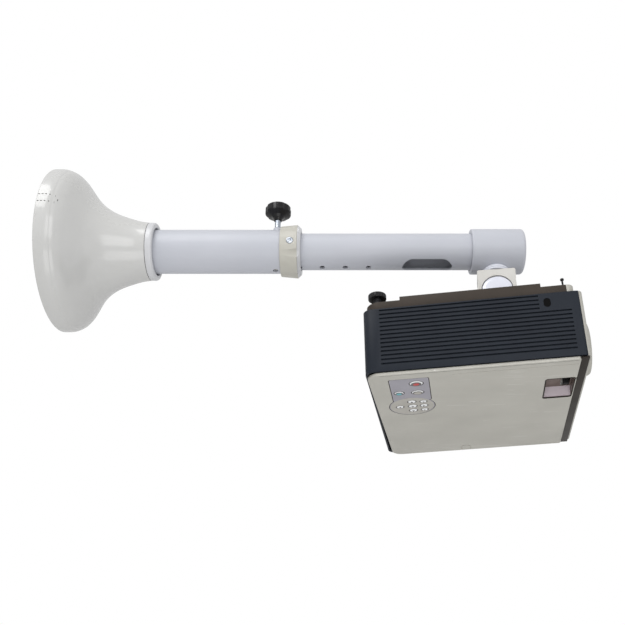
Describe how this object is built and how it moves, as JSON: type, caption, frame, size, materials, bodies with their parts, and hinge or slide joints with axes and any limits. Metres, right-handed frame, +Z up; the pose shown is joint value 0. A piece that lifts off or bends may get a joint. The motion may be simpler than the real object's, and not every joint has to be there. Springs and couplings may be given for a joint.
{
  "type": "telescopic projector wall mount with projector",
  "caption": "Telescopic wall arm with bell-shaped cover, clamp collar and knob, carrying an upside-down projector on a swivel and tilt joint.",
  "frame": {"origin": "centre of the wall plate's back face, on the arm's centre line", "axes": "+X along the arm away from the wall, +Z up, the projector hangs towards -Z"},
  "size_m": [0.7, 0.3066, 0.354],
  "materials": {
    "tube_paint": "satin powder coat, light blue-grey",
    "bell_plastic": "glossy moulded plastic, light warm grey",
    "collar_plastic": "satin moulded plastic, light beige-grey",
    "white_paint": "semi-gloss white paint",
    "black_plastic": "polished black plastic",
    "rubber": "matte",
    "nylon": "natural nylon",
    "zinc": "bright zinc plate",
    "steel": "grey primed steel",
    "panel_plastic": "dark slate textured plastic",
    "base_plastic": "brown-grey textured plastic",
    "silver_plastic": "silver-lacquered plastic",
    "trim_plastic": "dark brown",
    "lilac_plastic": "pale grey-lilac keypad inlay",
    "key_plastic": "pale grey keys",
    "lens_glass": "coated lens glass",
    "board_green": "solder-masked circuit board",
    "amber_plastic": "warm brown moulding"
  },
  "bodies": {
    "wall_arm": {"wall_plate": "steel", "tube_socket": "steel", "outer_tube": "tube_paint", "guide_bush": "nylon", "clamp_collar": "collar_plastic", "collar_screw": "zinc", "clamp_nut": "tube_paint"},
    "cover": {"bell_cover": "bell_plastic", "cover_grip_ring": "rubber"},
    "knob": {"clamp_knob": "black_plastic", "clamp_stud": "zinc"},
    "extension": {"inner_tube": "tube_paint", "end_cap": "tube_paint", "swivel_boss": "white_paint", "swivel_bolt": "zinc"},
    "swivel": {"tilt_block": "collar_plastic"},
    "knuckle": {"tilt_knuckle": "white_paint", "tilt_bolt": "zinc"},
    "projector": {"roll_bracket": "white_paint", "roll_pin": "zinc", "mount_plate": "white_paint", "leg_1": "white_paint", "leg_2": "white_paint", "leg_3": "white_paint", "leg_screw_1": "zinc", "leg_screw_2": "zinc", "leg_screw_3": "zinc", "bottom_case": "base_plastic", "near_side_panel": "panel_plastic", "far_side_panel": "panel_plastic", "rear_panel": "panel_plastic", "front_bezel": "silver_plastic", "front_trim": "trim_plastic", "top_cover": "silver_plastic", "control_panel": "lilac_plastic", "lens_surround": "silver_plastic", "lens_barrel": "black_plastic", "front_lens": "lens_glass", "light_engine": "steel", "lamp_module": "amber_plastic", "main_board": "board_green", "fan_frame": "black_plastic", "mains_inlet": "black_plastic", "video_socket": "zinc"},
    "zoom": {"zoom_ring": "black_plastic"},
    "focus": {"focus_ring": "trim_plastic"},
    "fan": {"fan_rotor": "black_plastic"},
    "rear_foot_screw": {"foot_screw": "zinc"},
    "rear_foot_wheel": {"foot_wheel": "black_plastic"},
    "front_foot": {"front_pin": "black_plastic"},
    "power_button": {"power_button": "amber_plastic"},
    "source_button": {"source_button": "key_plastic"},
    "menu_button": {"menu_button": "key_plastic"},
    "key_up": {"key_up": "key_plastic"},
    "key_down": {"key_down": "key_plastic"},
    "key_left": {"key_left": "key_plastic"},
    "key_right": {"key_right": "key_plastic"},
    "key_enter": {"key_enter": "key_plastic"},
    "key_auto": {"key_auto": "key_plastic"},
    "key_blank": {"key_blank": "key_plastic"}
  },
  "joints": [
    {"name": "cover_slide", "type": "slide", "parent": "wall_arm", "child": "cover", "axis": [1, 0, 0], "range_m": [0, 0.12]},
    {"name": "knob_turn", "type": "hinge", "parent": "wall_arm", "child": "knob", "pos_m": [0.2946, 0, 0], "axis": [0, 0, 1], "continuous": true},
    {"name": "arm_extension", "type": "slide", "parent": "wall_arm", "child": "extension", "axis": [1, 0, 0], "range_m": [-0.1575, 0.0945]},
    {"name": "swivel_pan", "type": "hinge", "parent": "extension", "child": "swivel", "pos_m": [0.594, 0, -0.068], "axis": [0, 0, 1], "range_deg": [-180, 180]},
    {"name": "tilt_pitch", "type": "hinge", "parent": "swivel", "child": "knuckle", "pos_m": [0.594, 0, -0.068], "axis": [0.1409, 0.99, 0], "range_deg": [-15, 15]},
    {"name": "tilt_roll", "type": "hinge", "parent": "knuckle", "child": "projector", "pos_m": [0.59516, -0.00017, -0.10998], "axis": [0.9896, -0.1408, 0.0279], "range_deg": [-8, 8]},
    {"name": "zoom_turn", "type": "hinge", "parent": "projector", "child": "zoom", "pos_m": [0.6496, -0.07278, -0.18542], "axis": [0.9896, -0.1408, 0.0279], "range_deg": [-20, 20]},
    {"name": "focus_turn", "type": "hinge", "parent": "projector", "child": "focus", "pos_m": [0.63575, -0.07081, -0.18581], "axis": [0.9896, -0.1408, 0.0279], "range_deg": [-60, 60]},
    {"name": "fan_spin", "type": "hinge", "parent": "projector", "child": "fan", "pos_m": [0.63752, 0.10562, -0.19321], "axis": [0.1413, 0.9898, -0.0157], "continuous": true},
    {"name": "foot_wheel_turn", "type": "hinge", "parent": "rear_foot_screw", "child": "rear_foot_wheel", "pos_m": [0.42943, -0.09617, -0.13894], "axis": [-0.0254, 0.0195, 0.9995], "range_deg": [0, 1440]},
    {"name": "foot_screw_rise", "type": "slide", "parent": "projector", "child": "rear_foot_screw", "axis": [-0.0254, 0.0195, 0.9995], "range_m": [0, 0.006]},
    {"name": "front_foot_slide", "type": "slide", "parent": "projector", "child": "front_foot", "axis": [-0.0254, 0.0195, 0.9995], "range_m": [-0.006, 0.002]},
    {"name": "power_button_press", "type": "slide", "parent": "projector", "child": "power_button", "axis": [-0.0254, 0.0195, 0.9995], "range_m": [0, 0.0008], "stiffness_N_per_m": 400},
    {"name": "source_button_press", "type": "slide", "parent": "projector", "child": "source_button", "axis": [-0.0254, 0.0195, 0.9995], "range_m": [0, 0.0008], "stiffness_N_per_m": 400},
    {"name": "menu_button_press", "type": "slide", "parent": "projector", "child": "menu_button", "axis": [-0.0254, 0.0195, 0.9995], "range_m": [0, 0.0008], "stiffness_N_per_m": 400},
    {"name": "key_up_press", "type": "slide", "parent": "projector", "child": "key_up", "axis": [-0.0254, 0.0195, 0.9995], "range_m": [0, 0.0008], "stiffness_N_per_m": 400},
    {"name": "key_down_press", "type": "slide", "parent": "projector", "child": "key_down", "axis": [-0.0254, 0.0195, 0.9995], "range_m": [0, 0.0008], "stiffness_N_per_m": 400},
    {"name": "key_left_press", "type": "slide", "parent": "projector", "child": "key_left", "axis": [-0.0254, 0.0195, 0.9995], "range_m": [0, 0.0008], "stiffness_N_per_m": 400},
    {"name": "key_right_press", "type": "slide", "parent": "projector", "child": "key_right", "axis": [-0.0254, 0.0195, 0.9995], "range_m": [0, 0.0008], "stiffness_N_per_m": 400},
    {"name": "key_enter_press", "type": "slide", "parent": "projector", "child": "key_enter", "axis": [-0.0254, 0.0195, 0.9995], "range_m": [0, 0.0008], "stiffness_N_per_m": 400},
    {"name": "key_auto_press", "type": "slide", "parent": "projector", "child": "key_auto", "axis": [-0.0254, 0.0195, 0.9995], "range_m": [0, 0.0008], "stiffness_N_per_m": 400},
    {"name": "key_blank_press", "type": "slide", "parent": "projector", "child": "key_blank", "axis": [-0.0254, 0.0195, 0.9995], "range_m": [0, 0.0008], "stiffness_N_per_m": 400}
  ],
  "couplings": [
    {"joint": "foot_wheel_turn", "follows": "foot_screw_rise", "rad_per_m": 4188.7}
  ]
}
